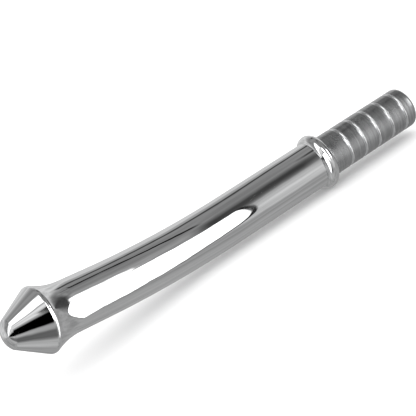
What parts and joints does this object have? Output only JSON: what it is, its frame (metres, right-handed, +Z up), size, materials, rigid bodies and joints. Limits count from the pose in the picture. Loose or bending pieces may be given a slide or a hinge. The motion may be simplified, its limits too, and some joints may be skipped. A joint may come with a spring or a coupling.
{
  "type": "metal wand",
  "caption": "Polished metal hand wand with a blunt conical head, a gently bent tube, a ring collar and a grooved grip that unscrews.",
  "frame": {"origin": "centre of the butt face, at the free end of the grip", "axes": "+X along the grip's axis, out of the butt face; the head lies towards -X; the wand lies on its collar and belly with its bend leaning over towards -Y; +Z up"},
  "size_m": [0.2896, 0.0585, 0.0565],
  "materials": {
    "polished_steel": "mirror polish",
    "satin_steel": "fine turned satin",
    "machined_steel": "plain machined",
    "seal_rubber": "matt"
  },
  "bodies": {
    "wand": {"nose_cone": "polished_steel", "neck_sleeve": "machined_steel", "shaft_tube": "polished_steel", "shaft_bush": "machined_steel", "tie_stud": "machined_steel"},
    "collar": {"collar_ring": "polished_steel", "collar_seal": "seal_rubber"},
    "grip": {"grip_sleeve": "satin_steel", "grip_bush": "machined_steel", "butt_plug": "satin_steel"}
  },
  "joints": [
    {"name": "collar_travel", "type": "slide", "parent": "wand", "child": "collar", "axis": [1, 0, 0], "range_m": [0, 0.0175]},
    {"name": "grip_turn", "type": "hinge", "parent": "collar", "child": "grip", "pos_m": [0, 0, 0], "axis": [1, 0, 0], "range_deg": [0, 3600]}
  ],
  "couplings": [
    {"joint": "grip_turn", "follows": "collar_travel", "rad_per_m": 3590.4}
  ]
}
